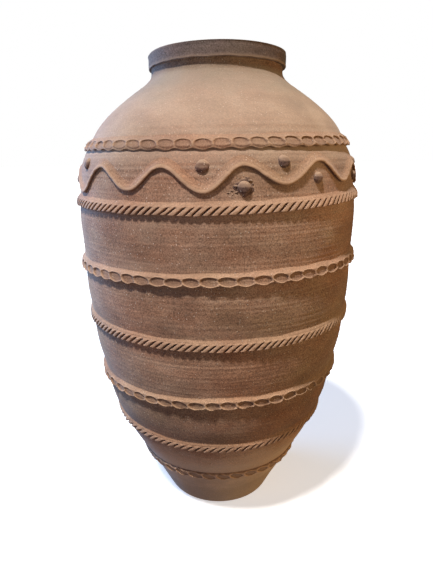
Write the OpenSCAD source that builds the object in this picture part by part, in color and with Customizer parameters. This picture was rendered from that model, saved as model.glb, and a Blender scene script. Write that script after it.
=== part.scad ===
// Large garden storage jar, built up in rings of clay.
// The jar stands on its flat base: the origin is the centre of the underside, +Z is up
// and -Y is the front. All sizes are millimetres.

/* [Base and wall] */
// Radius of the flat underside
base_r = 116; // [104:1:124]
// Height of the base disc at its outer edge
base_t = 14; // [10:1:20]
// Thickness of the fired wall
wall_t = 22; // [16:1:26]

/* [Seam heights] */
// Seam under thumbed band 1, just above the foot
seam_1_z = 112; // [102:1:122]
// Seam under rope band 1
seam_2_z = 212; // [202:1:222]
// Seam under thumbed band 2
seam_3_z = 318; // [308:1:328]
// Seam under rope band 2
seam_4_z = 431; // [421:1:441]
// Seam under thumbed band 3, at the belly
seam_5_z = 542; // [532:1:552]
// Seam under rope band 3
seam_6_z = 649; // [642:1:656]
// Seam under thumbed band 4, at the edge of the shoulder
seam_7_z = 743; // [738:1:750]

/* [Wall radii at the seams] */
// Outside of the wall at seam 1
seam_1_r = 170; // [160:1:178]
// Outside of the wall at seam 2
seam_2_r = 217; // [207:1:224]
// Outside of the wall at seam 3
seam_3_r = 243; // [234:1:250]
// Outside of the wall at seam 4
seam_4_r = 260; // [252:1:264]
// Outside of the wall at seam 5
seam_5_r = 265; // [260:1:275]
// Outside of the wall at seam 6
seam_6_r = 265; // [258:1:272]
// Outside of the wall at seam 7
seam_7_r = 242; // [236:1:248]

/* [Neck and rim] */
// Overall height, floor to lip
height = 902; // [899:1:915]
// Outside radius of the neck
neck_r = 122; // [116:1:128]
// Height at which the neck stands upright
neck_z = 869; // [864:1:872]
// Height of the seam where the neck meets the shoulder
root_z = 842; // [838:1:846]
// Outside radius of the neck at that seam
root_r = 144; // [140:1:148]
// Height of the collar's face
collar_h = 25; // [18:1:26]
// How far the collar stands out from the neck
collar_proud = 6; // [4:1:9]

/* [Bands] */
// How far a thumbed band stands out from the wall
thumbed_proud = 9; // [8:0.5:11]
// Depth of one thumb impression
thumb_depth = 3.5; // [2:0.5:4]
// How far a rope band stands out from the wall
rope_proud = 8; // [7:0.5:10]
// Width of one slanting cut in a rope band, twice its depth
cut_w = 5; // [3:0.5:6]

/* [Wave and bosses] */
// Number of waves round the jar
waves = 13; // [9:1:15]
// Height of the middle of the wave
wave_z = 695; // [692:1:698]
// Height of a crest above the middle
wave_rise = 18; // [12:1:18]
// Width of the clay strip
wave_w = 9; // [6:0.5:10]
// How far the strip stands out from the wall
wave_proud = 6.5; // [5:0.5:9]
// Diameter of one boss
boss_d = 20; // [14:1:22]
// How far a boss stands out from the wall
boss_proud = 7; // [5:0.5:9]

/* [Hidden] */
$fn = 96;
// Sides of the large rings that other pieces are cut by or cut from.
ring_sides = 240;
// Directions round the jar are degrees from the front, growing towards +X.
first_crest = 9;
wave_pitch = 360 / waves;

// Seams, from the foot up: thumbed bands lie on the odd ones and rope bands on the even ones.
seam_z = [seam_1_z, seam_2_z, seam_3_z, seam_4_z, seam_5_z, seam_6_z, seam_7_z];
seam_r = [seam_1_r, seam_2_r, seam_3_r, seam_4_r, seam_5_r, seam_6_r, seam_7_r];
last_seam = len(seam_z) - 1;

// The wall is straight along its seats, where the bands lie, and curved between them.
seat_down = 12;
seat_up = 20;
curve_steps = 8;

// Thumb impressions and slanting cuts round each band, seam by seam.
marks = [39, 96, 55, 130, 61, 130, 56];

// Waves that carry a boss above their trough and waves that carry one under their crest.
// Some bosses have fallen away over the years.
upper_bosses = [0, 1, 3, 5, 6, 8, 11];
lower_bosses = [0, 1, 2, 4, 6, 7, 9, 10];

// Bosses that sit well off their even places: which one, degrees round the jar, millimetres up.
upper_drift = [[0, 0.4, -4.5], [11, 1.5, 1]];
lower_drift = [[0, 0, -8], [1, 0.4, 2], [2, 1.5, 2]];
function drift(list, k) =
    let (found = [for (d = list) if (d[0] == k) d]) len(found) > 0 ? found[0] : [k, 0, 0];

// The wall's slope at a seam: the change of radius with height between its neighbours.
foot_slope = (seam_r[0] - base_r) / seam_z[0];
shoulder_slope = -0.55;
root_slope = -1.5;
function seam_slope(i) =
    i == last_seam ? shoulder_slope
    : i == 0 ? (foot_slope + (seam_r[1] - seam_r[0]) / (seam_z[1] - seam_z[0])) / 2
    : (seam_r[i + 1] - seam_r[i - 1]) / (seam_z[i + 1] - seam_z[i - 1]);

// A point on the wall's outside is [radius, height, slope].
function seat_point(i, dz) = [seam_r[i] + seam_slope(i) * dz, seam_z[i] + dz, seam_slope(i)];

// The same point on the wall's inside, one wall thickness in along the normal.
function inside(p) =
    let (depth = wall_t / sqrt(1 + p[2] * p[2])) [p[0] - depth, p[1] + p[2] * depth];

// A cubic curve from point a to point b that keeps both slopes.
function cubic(a, b, t) =
    let (
        h = b[1] - a[1],
        r = a[0] * (1 + 2 * t) * (1 - t) * (1 - t) + h * a[2] * t * (1 - t) * (1 - t)
            + b[0] * t * t * (3 - 2 * t) - h * b[2] * t * t * (1 - t),
        s = 6 * t * (1 - t) * (b[0] - a[0]) / h + a[2] * (1 - t) * (1 - 3 * t)
            + b[2] * t * (3 * t - 2)
    ) [r, a[1] + h * t, s];
function curve(a, b) = [for (k = [0 : curve_steps]) cubic(a, b, k / curve_steps)];

// The outside of each course of clay, from its lower seam to its upper one.
base_edge = [base_r + foot_slope * base_t, base_t, foot_slope];
root = [root_r, root_z, root_slope];
neck_foot = [neck_r, neck_z, 0];
function foot_line() = concat(curve(base_edge, seat_point(0, -seat_down)), [seat_point(0, 0)]);
function course_line(i) = concat(
    [seat_point(i, 0)],
    curve(seat_point(i, seat_up), seat_point(i + 1, -seat_down)),
    [seat_point(i + 1, 0)]
);
function shoulder_line() = concat(
    [seat_point(last_seam, 0)],
    curve(seat_point(last_seam, seat_up), root)
);
function neck_line() = concat(curve(root, neck_foot), [[neck_r, height, 0]]);

// The frieze is the course above this seam. A point on its outside at height z is where the
// wave and the bosses are laid.
frieze_seam = last_seam - 1;
function frieze_point(z) =
    let (a = seat_point(frieze_seam, seat_up), b = seat_point(last_seam, -seat_down))
    cubic(a, b, (z - a[1]) / (b[1] - a[1]));

upper_names = [for (k = upper_bosses) str("upper_boss_", k + 1)];
lower_names = [for (k = lower_bosses) str("lower_boss_", k + 1)];

// A ring of wall between an outside line and the same line one thickness in.
module ring(line) {
    rotate_extrude()
        polygon(concat(
            [for (p = line) [p[0], p[1]]],
            [for (k = [len(line) - 1 : -1 : 0]) inside(line[k])]
        ));
}

module base_disc() {
    worn_edge = 3;
    rim = inside(base_edge);
    color("saddlebrown")
        rotate_extrude()
            polygon([
                [0, 0],
                [base_r - worn_edge, 0],
                [base_r + foot_slope * worn_edge, worn_edge],
                [base_edge[0], base_edge[1]],
                rim,
                [0, rim[1]]
            ]);
}

module foot_course() {
    color("sienna") ring(foot_line());
}

module wall_course(i) {
    color("peru") ring(course_line(i));
}

module shoulder_course() {
    color("tan") ring(shoulder_line());
}

module neck_ring() {
    color("sienna") ring(neck_line());
}

module rim_collar() {
    soft = 2;
    outer = neck_r + collar_proud;
    color("saddlebrown")
        rotate_extrude()
            polygon([
                [neck_r, height - collar_h],
                [outer - soft, height - collar_h],
                [outer, height - collar_h + soft],
                [outer, height - soft],
                [outer - soft, height],
                [neck_r, height]
            ]);
}

// The plain clay strip of a band: a crest with a square lower edge, smeared thinly up the wall.
band_down = 9;
band_up = 19;
crest_down = 6;
crest_up = 4;
crest_round = 2.5;
module band_blank(i, proud) {
    crest = seam_r[i] + proud;
    z = seam_z[i];
    lower = seat_point(i, -band_down);
    upper = seat_point(i, band_up);
    rotate_extrude($fn = ring_sides)
        polygon([
            [lower[0], lower[1]],
            [crest - crest_round, z - crest_down - crest_round],
            [crest, z - crest_down],
            [crest, z + crest_up],
            [crest - crest_round / 2, z + crest_up + crest_round],
            [upper[0], upper[1]]
        ]);
}

// Height of the marks' middle above the seam.
mark_z = -1;

// A band with a row of round thumb impressions pressed side by side into its crest.
module thumbed_band(i) {
    crest = seam_r[i] + thumbed_proud;
    half_pitch = PI * crest / marks[i];
    thumb_r = (half_pitch * half_pitch + thumb_depth * thumb_depth) / (2 * thumb_depth);
    color("chocolate")
        difference() {
            band_blank(i, thumbed_proud);
            for (k = [0 : marks[i] - 1])
                rotate([0, 0, k * 360 / marks[i]])
                    translate([crest + thumb_r - thumb_depth, 0, seam_z[i] + mark_z])
                        sphere(r = thumb_r);
        }
}

// A band with a row of slanting cuts, like the lay of a rope.
module rope_band(i) {
    crest = seam_r[i] + rope_proud;
    slant = 45;
    reach = 13;
    cut_side = cut_w / sqrt(2);
    color("chocolate")
        difference() {
            band_blank(i, rope_proud);
            for (k = [0 : marks[i] - 1])
                rotate([0, 0, k * 360 / marks[i]])
                    translate([crest, 0, seam_z[i] + mark_z])
                        rotate([slant, 0, 0])
                            rotate([0, 0, 45])
                                cube([cut_side, cut_side, 2 * reach], center = true);
        }
}

// The solid inside the frieze's outer face. It cuts the backs of the wave and the bosses.
module frieze_core() {
    line = course_line(frieze_seam);
    rotate_extrude($fn = ring_sides)
        polygon(concat(
            [[0, line[0][1]]],
            [for (p = line) [p[0], p[1]]],
            [[0, line[len(line) - 1][1]]]
        ));
}

// The strip: a half-round section carried along a wave that runs round the frieze. Its two
// edges start below the frieze's face, and the face then cuts them off.
steps_per_wave = 12;
section_sides = 6;
buried = 3;
function wave_ring(angle) =
    let (
        z = wave_z + wave_rise * cos((angle - first_crest) * waves),
        wall_r = frieze_point(z)[0],
        tilt = atan(-wave_rise * waves * sin((angle - first_crest) * waves) / wall_r)
    ) [
        for (k = [0 : section_sides - 1])
            let (
                turn = -90 + k * 180 / (section_sides - 1),
                across = wave_w / 2 * sin(turn),
                out = k % (section_sides - 1) == 0 ? -buried : wave_proud * cos(turn),
                a = angle - across * sin(tilt) / wall_r * 180 / PI,
                h = z + across * cos(tilt),
                r = frieze_point(h)[0] + out
            ) [r * sin(a), -r * cos(a), h]
    ];

module wave_strip() {
    count = waves * steps_per_wave;
    points = [for (j = [0 : count - 1]) each wave_ring(j * 360 / count)];
    faces = [
        for (j = [0 : count - 1], k = [0 : section_sides - 1])
            let (
                a = j * section_sides + k,
                b = j * section_sides + (k + 1) % section_sides,
                c = (j + 1) % count * section_sides + (k + 1) % section_sides,
                d = (j + 1) % count * section_sides + k
            ) each [[a, b, c], [a, c, d]]
    ];
    color("burlywood")
        difference() {
            polyhedron(points, faces);
            frieze_core();
        }
}

// A round pellet of clay at a direction and a height on the frieze.
module boss(angle, z) {
    ball_r = (boss_d * boss_d / 4 + boss_proud * boss_proud) / (2 * boss_proud);
    wall = frieze_point(z);
    color("burlywood")
        difference() {
            rotate([0, 0, angle])
                translate([0, -(wall[0] + boss_proud - ball_r), z])
                    sphere(r = ball_r);
            frieze_core();
        }
}

// Upper bosses sit above the troughs and lower ones under the crests.
boss_above = 17;
boss_below = 9;

module upper_boss(k) {
    d = drift(upper_drift, k);
    boss(first_crest + (k - 0.5) * wave_pitch + d[1], wave_z + boss_above + d[2]);
}

module lower_boss(k) {
    d = drift(lower_drift, k);
    boss(first_crest + k * wave_pitch + d[1], wave_z - boss_below + d[2]);
}

base_disc();
foot_course();
wall_course(0);  // wall_course_1
wall_course(1);  // wall_course_2
wall_course(2);  // wall_course_3
wall_course(3);  // wall_course_4
wall_course(4);  // wall_course_5
wall_course(frieze_seam);  // frieze_course
shoulder_course();
neck_ring();
rim_collar();
thumbed_band(0);  // thumbed_band_1
rope_band(1);  // rope_band_1
thumbed_band(2);  // thumbed_band_2
rope_band(3);  // rope_band_2
thumbed_band(4);  // thumbed_band_3
rope_band(5);  // rope_band_3
thumbed_band(6);  // thumbed_band_4
wave_strip();
for (k = upper_bosses) upper_boss(k);
for (k = lower_bosses) lower_boss(k);
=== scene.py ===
"""Looks of a large hand-built terracotta storage jar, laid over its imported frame.

Lengths are metres. Directions round the jar are radians from the front (-Y) growing towards +X.
"""

import logging
import math
from dataclasses import dataclass
from enum import Enum
from functools import cached_property

import bpy
import numpy as np
from mathutils import Matrix
from mathutils import Vector


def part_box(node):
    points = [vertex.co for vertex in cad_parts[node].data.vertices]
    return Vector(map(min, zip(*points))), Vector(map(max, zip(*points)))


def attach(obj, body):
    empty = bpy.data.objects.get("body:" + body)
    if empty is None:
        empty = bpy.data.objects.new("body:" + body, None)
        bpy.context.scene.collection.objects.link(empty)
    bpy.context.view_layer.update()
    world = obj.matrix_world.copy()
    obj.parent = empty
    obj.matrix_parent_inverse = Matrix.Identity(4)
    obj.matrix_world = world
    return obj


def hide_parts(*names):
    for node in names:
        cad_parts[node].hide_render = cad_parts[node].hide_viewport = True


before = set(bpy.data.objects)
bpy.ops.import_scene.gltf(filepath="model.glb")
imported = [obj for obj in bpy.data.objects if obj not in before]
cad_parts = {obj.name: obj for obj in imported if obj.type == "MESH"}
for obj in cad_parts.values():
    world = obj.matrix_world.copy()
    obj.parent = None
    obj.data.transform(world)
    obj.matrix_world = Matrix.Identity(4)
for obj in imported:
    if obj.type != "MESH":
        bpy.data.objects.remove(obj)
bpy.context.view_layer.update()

MM = 0.001
FULL_TURN = 2 * math.pi
LOG = logging.getLogger("storage_jar")

Colour = tuple[float, float, float]
Place = tuple[float, float, float]
Stops = tuple[tuple[float, Colour], ...]


class Slot(Enum):
    """The material slots that the record names."""

    WALL = "wall_clay"
    BAND = "band_clay"
    RIM = "rim_clay"


def smooth(start: float, end: float, value: np.ndarray) -> np.ndarray:
    """Rises from 0 at start to 1 at end along 3t^2 - 2t^3.

    Args:
        start: Where the rise begins.
        end: Where it is over; it may be below start.
        value: Any array.

    Returns:
        An array of shares from 0 to 1.
    """
    t = np.clip((value - start) / (end - start), 0, 1)
    return t * t * (3 - 2 * t)


def grey(level: float) -> Colour:
    """A colour without a hue."""
    return (level, level, level)


def apart(a: np.ndarray, b: np.ndarray) -> np.ndarray:
    """The turn from direction b to direction a, between minus and plus half a turn."""
    return (a - b + math.pi) % FULL_TURN - math.pi


def edged(low: float, high: float, count: int) -> np.ndarray:
    """Even heights from low to high, with one more close to each end to keep the edge crisp.

    Args:
        low: The first height.
        high: The last height.
        count: How many even heights.

    Returns:
        A column of count + 2 heights.
    """
    near = 0.15 * MM
    even = np.linspace(low, high, count)
    return np.concatenate([[low, low + near], even[1:-1], [high - near, high]])[:, None]


@dataclass(frozen=True)
class Unevenness:
    """Small hand-made unevenness, the same each time it is worked out.

    It is a sum of cosines of (turns x direction + rises x height + phase), where turns are whole
    numbers, so the pattern closes round the jar. Turns and rises hold the least and the most of
    each, and a rise is a number of waves in a metre.
    """

    seed: int
    height: float
    turns: tuple[int, int]
    rises: tuple[float, float]
    parts: int = 14

    def at(self, angle: np.ndarray, z: np.ndarray) -> np.ndarray:
        """The unevenness at some places.

        Args:
            angle: Directions round the jar.
            z: Heights, of a shape that fits the directions.

        Returns:
            Offsets in metres, mostly within plus and minus the height.
        """
        rng = np.random.default_rng(self.seed)
        turns = rng.integers(self.turns[0], self.turns[1] + 1, self.parts)
        rises = rng.uniform(*self.rises, self.parts) * rng.choice([-1, 1], self.parts)
        phases = rng.uniform(0, FULL_TURN, self.parts)
        sizes = rng.uniform(0.5, 1.0, self.parts)
        angle, z = np.broadcast_arrays(angle, z)
        total = np.zeros(angle.shape)
        for turn, rise, phase, size in zip(turns, rises, phases, sizes):
            total += size * np.cos(turn * angle + FULL_TURN * rise * z + phase)
        return total * self.height / math.sqrt(float((sizes**2).sum()))


@dataclass(frozen=True)
class Surface:
    """A surface as a grid of points, with a mark of painted light and shade at each point.

    Rows run along the section and columns run round it. A shut surface joins its last row to
    its first. One that isn't may be closed by two poles, single points past its first and last
    row. The mark is 1 for a painted highlight on an edge, -1 for painted shade in a hollow and 0
    elsewhere.
    """

    points: np.ndarray
    shut: bool = True
    poles: tuple[np.ndarray, ...] = ()
    painted_light_shade: np.ndarray | None = None

    def faces(self, start: int = 0) -> list[list[int]]:
        """The four-sided faces between neighbouring rows and columns, and a fan at each pole.

        Args:
            start: Number of the surface's first point.

        Returns:
            Point numbers of each face, turned so that it points outwards.
        """
        rows, columns = self.points.shape[:2]
        number = start + np.arange(rows * columns).reshape(rows, columns)
        low = number if self.shut else number[:-1]
        high = np.roll(number, -1, axis=0) if self.shut else number[1:]
        quads = np.stack([low, np.roll(low, -1, 1), np.roll(high, -1, 1), high], axis=-1)
        found = quads.reshape(-1, 4).tolist()
        if self.poles:
            first, last = number[0], number[-1]
            below = np.full(columns, start + rows * columns)
            above = below + 1
            found += np.stack([below, np.roll(first, -1), first], axis=-1).tolist()
            found += np.stack([last, np.roll(last, -1), above], axis=-1).tolist()
        return found

    def marked_points(self) -> tuple[np.ndarray, np.ndarray]:
        """Every point, with the poles at the end, and its mark of painted light and shade."""
        points = self.points.reshape(-1, 3)
        light_shade_marks = np.zeros(len(points)) if self.painted_light_shade is None else self.painted_light_shade.reshape(-1)
        if self.poles:
            points = np.concatenate([points, np.array(self.poles)])
            light_shade_marks = np.concatenate([light_shade_marks, np.zeros(len(self.poles))])
        return points, light_shade_marks

    def mesh(self, name: str) -> bpy.types.Mesh:
        """The surface as a smooth mesh of that name."""
        return join([self], name)


def join(surfaces: list[Surface], name: str) -> bpy.types.Mesh:
    """Closed surfaces as one mesh, in which each stays closed by itself.

    Args:
        surfaces: One surface or more.
        name: The mesh's name.

    Returns:
        One smooth mesh with an attribute that holds the marks of painted light and shade.
    """
    points, light_shade_marks, faces = [], [], []
    start = 0
    for surface in surfaces:
        faces += surface.faces(start)
        spots, marks = surface.marked_points()
        start += len(spots)
        points.append(spots)
        light_shade_marks.append(marks)
    mesh = bpy.data.meshes.new(name)
    mesh.from_pydata(np.concatenate(points).tolist(), [], faces)
    mesh.shade_smooth()
    painted_light_shade = mesh.attributes.new("painted_light_shade", "FLOAT", "POINT")
    painted_light_shade.data.foreach_set("value", np.concatenate(light_shade_marks).astype(np.float32))
    mesh.update()
    return mesh


def lay_piece(
    mesh: bpy.types.Mesh, finish: bpy.types.Material, nodes: list[str]
) -> bpy.types.Object:
    """Puts a mesh into the scene in place of its nodes.

    Args:
        mesh: The piece's mesh, in place; its name becomes the piece's name.
        finish: The material it wears.
        nodes: The nodes of the frame that it stands for.

    Returns:
        The new object, riding on the jar's one body.
    """
    mesh.materials.append(finish)
    piece = bpy.data.objects.new(mesh.name, mesh)
    bpy.context.scene.collection.objects.link(piece)
    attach(piece, "root")
    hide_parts(*nodes)
    LOG.info("%s: %d faces, stands for %s", piece.name, len(mesh.polygons), ", ".join(nodes))
    return piece


@dataclass(frozen=True)
class JarForm:
    """The jar's wall: a turned line with straight seats at the seams, made a little uneven.

    A seat reaches seat_down below its seam and seat_up above it. Bulges are in millimetres, one
    for each course from the base up.
    """

    seam_bands: tuple[str, ...] = (
        "thumbed_band_1",
        "rope_band_1",
        "thumbed_band_2",
        "rope_band_2",
        "thumbed_band_3",
        "rope_band_3",
        "thumbed_band_4",
    )
    seam_courses: tuple[str, ...] = (
        "foot_course",
        "wall_course_1",
        "wall_course_2",
        "wall_course_3",
        "wall_course_4",
        "frieze_course",
        "shoulder_course",
    )
    wall_thickness: float = 22 * MM
    band_foot: float = 9 * MM
    seat_down: float = 12 * MM
    seat_up: float = 20 * MM
    shoulder_slope: float = -0.55
    root_height: float = 842 * MM
    root_slope: float = -1.5
    neck_height: float = 869 * MM
    neck_radius: float = 122 * MM
    lean: float = 3 * MM
    lean_starts: float = 720 * MM
    lean_ends: float = 880 * MM
    calm_edge: float = 30 * MM
    bulges: tuple[float, ...] = (0.0, 1.5, 2.0, 2.0, 1.5, 0.0, 0.0, 0.0)
    columns: int = 512
    wobble: Unevenness = Unevenness(11, 0.55 * MM, (1, 7), (0.0, 6.0))
    dents: Unevenness = Unevenness(12, 0.28 * MM, (6, 26), (2.0, 16.0), 20)
    ridges: Unevenness = Unevenness(13, 0.16 * MM, (0, 2), (70.0, 170.0), 16)

    @cached_property
    def seam_heights(self) -> np.ndarray:
        """Height of each seam: a band's foot lies a little below its seam."""
        return np.array([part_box(band)[0].z + self.band_foot for band in self.seam_bands])

    @cached_property
    def seam_radii(self) -> np.ndarray:
        """Outside radius of the wall at each seam, where the course that is named is widest."""
        return np.array([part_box(course)[1].x for course in self.seam_courses])

    @cached_property
    def knots(self) -> np.ndarray:
        """Heights, radii and slopes of the points that the wall's line passes through.

        A seam's slope is the change of radius with height between its neighbours, and each seam
        has two knots, at the lower and the upper edge of its straight seat.

        Returns:
            An array of three columns, one row for each knot, from the foot up.
        """
        z, r = self.seam_heights, self.seam_radii
        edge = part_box("base_disc")[1].x
        edge_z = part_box("foot_course")[0].z
        foot = (r[0] - edge) / (z[0] - edge_z)
        slopes = np.empty(len(z))
        slopes[1:-1] = (r[2:] - r[:-2]) / (z[2:] - z[:-2])
        slopes[0] = (foot + (r[1] - r[0]) / (z[1] - z[0])) / 2
        slopes[-1] = self.shoulder_slope
        rows = [(0.0, edge - foot * edge_z, foot)]
        rows.append((edge_z, edge, foot))
        for height, radius, slope in zip(z, r, slopes):
            rows.append((height - self.seat_down, radius - slope * self.seat_down, slope))
            rows.append((height + self.seat_up, radius + slope * self.seat_up, slope))
        rows.append((self.root_height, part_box("neck_ring")[1].x, self.root_slope))
        rows.append((self.neck_height, self.neck_radius, 0.0))
        rows.append((self.top, self.neck_radius, 0.0))
        return np.array(rows)

    @cached_property
    def top(self) -> float:
        """Height of the lip."""
        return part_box("neck_ring")[1].z

    def line(self, z: np.ndarray) -> np.ndarray:
        """The wall's outside radius before any unevenness.

        Between two knots it is the cubic that keeps both radii and both slopes.

        Args:
            z: Heights.

        Returns:
            Radii of the same shape.
        """
        knots = self.knots
        z = np.clip(np.asarray(z, float), knots[0, 0], knots[-1, 0])
        k = np.clip(np.searchsorted(knots[:, 0], z, side="right") - 1, 0, len(knots) - 2)
        a, b = knots[k], knots[k + 1]
        h = b[..., 0] - a[..., 0]
        t = (z - a[..., 0]) / h
        radius = a[..., 1] * (1 + 2 * t) * (1 - t) ** 2 + b[..., 1] * t**2 * (3 - 2 * t)
        return radius + h * (a[..., 2] * t * (1 - t) ** 2 - b[..., 2] * t**2 * (1 - t))

    def fullness(self, z: np.ndarray) -> np.ndarray:
        """How far each course swells: its bulge x sin^2(half a turn x its share of the way up)."""
        stops = np.concatenate([[0.0], self.seam_heights, [self.root_height]])
        k = np.clip(np.searchsorted(stops, z, side="right") - 1, 0, len(stops) - 2)
        t = np.clip((z - stops[k]) / (stops[k + 1] - stops[k]), 0, 1)
        return np.array(self.bulges)[k] * MM * np.sin(math.pi * t) ** 2

    def wall(self, angle: np.ndarray, z: np.ndarray) -> np.ndarray:
        """The wall's outside radius with its swell, wobble, dents and throwing ridges.

        The unevenness fades out within a calm edge at the base and at the lip.

        Args:
            angle: Directions round the jar.
            z: Heights, of a shape that fits the directions.

        Returns:
            Radii of their common shape.
        """
        angle, z = np.broadcast_arrays(angle, z)
        calm = smooth(0.0, self.calm_edge, z) * smooth(self.top, self.top - self.calm_edge, z)
        rough = self.wobble.at(angle, z) + self.dents.at(angle, z) + self.ridges.at(angle, z)
        return self.line(z) + self.fullness(z) + rough * calm

    def inside(self, z: np.ndarray) -> np.ndarray:
        """The wall's inside radius: the outside line moved one wall thickness along its normal.

        Args:
            z: Heights.

        Returns:
            Radii of the same shape.
        """
        fine = np.linspace(0.0, self.top, 1801)
        slope = np.gradient(self.line(fine), fine)
        depth = self.wall_thickness / np.sqrt(1 + slope**2)
        heights = fine + slope * depth
        order = np.argsort(heights)
        return np.interp(z, heights[order], (self.line(fine) - depth)[order])

    def place(self, angle: np.ndarray, radius: np.ndarray, z: np.ndarray) -> np.ndarray:
        """Points of space at a direction, a distance from the axis and a height.

        Above the shoulder's edge the axis is moved to the right, by the lean in all.

        Args:
            angle: Directions round the jar.
            radius: Distances from the axis.
            z: Heights.

        Returns:
            An array with x, y and z along its last axis.
        """
        angle, radius, z = np.broadcast_arrays(angle, radius, z)
        across = self.lean * smooth(self.lean_starts, self.lean_ends, z)
        return np.stack([radius * np.sin(angle) + across, -radius * np.cos(angle), z], axis=-1)


Source = bpy.types.NodeSocket | float | Colour


@dataclass(frozen=True)
class SkinNodes:
    """Short ways to add the nodes that a clay finish needs."""

    tree: bpy.types.NodeTree

    def add(self, kind: str) -> bpy.types.Node:
        """Adds a node of a kind."""
        return self.tree.nodes.new(kind)

    def link(self, source: Source, socket: bpy.types.NodeSocket) -> None:
        """Joins a source to a socket, or sets the socket to a plain number or colour.

        Args:
            source: An output, a number or a colour.
            socket: The input that takes it.
        """
        if isinstance(source, bpy.types.NodeSocket):
            self.tree.links.new(source, socket)
        elif isinstance(source, tuple):
            socket.default_value = (*source, 1.0)
        else:
            socket.default_value = source

    def split(self, source: bpy.types.NodeSocket) -> bpy.types.NodeOutputs:
        """The outputs "X", "Y" and "Z" of a place or a direction."""
        node = self.add("ShaderNodeSeparateXYZ")
        self.link(source, node.inputs[0])
        return node.outputs

    def stretched(self, place: bpy.types.NodeSocket, scale: Place) -> bpy.types.NodeSocket:
        """The place with each direction stretched by its own factor."""
        node = self.add("ShaderNodeMapping")
        node.inputs["Scale"].default_value = scale
        self.link(place, node.inputs["Vector"])
        return node.outputs["Vector"]

    def far_from(
        self, place: bpy.types.NodeSocket, spot: Place, waver: bpy.types.NodeSocket
    ) -> bpy.types.NodeSocket:
        """How far a place is from a spot, in metres, made uneven by a noise.

        Args:
            place: Where it is read.
            spot: The spot, in metres.
            waver: Noise from 0 to 1 that moves the edge by up to 15 mm.

        Returns:
            The distance.
        """
        node = self.add("ShaderNodeVectorMath")
        node.operation = "DISTANCE"
        self.link(place, node.inputs[0])
        node.inputs[1].default_value = spot
        away = self.sum("MULTIPLY_ADD", waver, 30 * MM, -15 * MM)
        return self.sum("ADD", node.outputs["Value"], away)

    def noise(
        self, place: bpy.types.NodeSocket, scale: float, detail: float, rough: float
    ) -> bpy.types.NodeSocket:
        """Cloudy noise from 0 to 1.

        Args:
            place: Where it is read.
            scale: Clouds in a metre.
            detail: Octaves.
            rough: How strong the small clouds are beside the large ones.

        Returns:
            The noise's value.
        """
        node = self.add("ShaderNodeTexNoise")
        node.inputs["Scale"].default_value = scale
        node.inputs["Detail"].default_value = detail
        node.inputs["Roughness"].default_value = rough
        self.link(place, node.inputs["Vector"])
        return node.outputs["Fac"]

    def ramp(self, value: bpy.types.NodeSocket, stops: Stops) -> bpy.types.NodeSocket:
        """A colour that changes evenly between stops.

        Args:
            value: What it follows.
            stops: Each stop's value and its colour.

        Returns:
            The colour.
        """
        node = self.add("ShaderNodeValToRGB")
        bar = node.color_ramp.elements
        while len(bar) < len(stops):
            bar.new(0.5)
        for element, (position, colour) in zip(bar, stops):
            element.position = position
            element.color = (*colour, 1.0)
        self.link(value, node.inputs["Fac"])
        return node.outputs["Color"]

    def blend(self, kind: str, share: Source, a: Source, b: Source) -> bpy.types.NodeSocket:
        """Mixes b into a.

        Args:
            kind: How, such as MIX or MULTIPLY.
            share: How much of it.
            a: The first colour.
            b: The second colour.

        Returns:
            The mixed colour.
        """
        node = self.add("ShaderNodeMix")
        node.data_type = "RGBA"
        node.blend_type = kind
        self.link(share, node.inputs[0])
        self.link(a, node.inputs[6])
        self.link(b, node.inputs[7])
        return node.outputs[2]

    def sum(self, kind: str, a: Source, b: Source, c: float = 0.5) -> bpy.types.NodeSocket:
        """A sum, product or comparison of two values.

        Args:
            kind: Which one, such as ADD or MULTIPLY_ADD, which gives a x b + c.
            a: The first value.
            b: The second value.
            c: What MULTIPLY_ADD adds.

        Returns:
            The result.
        """
        node = self.add("ShaderNodeMath")
        node.operation = kind
        self.link(a, node.inputs[0])
        self.link(b, node.inputs[1])
        node.inputs[2].default_value = c
        return node.outputs[0]

    def specks(
        self, place: bpy.types.NodeSocket, scale: float, size: float, rarity: float
    ) -> bpy.types.NodeSocket:
        """Scattered specks: the middle of some cells of a cell pattern.

        Args:
            place: Where it is read.
            scale: Cells in a metre.
            size: A speck's radius as a share of its cell.
            rarity: About the share of cells that stay empty.

        Returns:
            1 in a speck and 0 outside.
        """
        node = self.add("ShaderNodeTexVoronoi")
        node.inputs["Scale"].default_value = scale
        self.link(place, node.inputs["Vector"])
        near = self.sum("LESS_THAN", node.outputs["Distance"], size)
        split = self.add("ShaderNodeSeparateColor")
        self.link(node.outputs["Color"], split.inputs["Color"])
        chosen = self.sum("GREATER_THAN", split.outputs[0], rarity)
        return self.sum("MULTIPLY", near, chosen)

    def bump(
        self,
        height: bpy.types.NodeSocket,
        distance: float,
        strength: float,
        under: bpy.types.NodeSocket | None,
    ) -> bpy.types.NodeSocket:
        """Relief from a height.

        Args:
            height: The height, from 0 to 1.
            distance: How far 1 stands out, in metres.
            strength: How much of it shows.
            under: Relief that it is laid on, if any.

        Returns:
            The bent normal.
        """
        node = self.add("ShaderNodeBump")
        node.inputs["Distance"].default_value = distance
        node.inputs["Strength"].default_value = strength
        self.link(height, node.inputs["Height"])
        if under is not None:
            self.link(under, node.inputs["Normal"])
        return node.outputs["Normal"]


# Middle of the darker patch on the right of the shoulder.
SMUDGE = (0.128, -0.152, 0.797)
SMUDGE_RADIUS = 34 * MM

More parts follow.
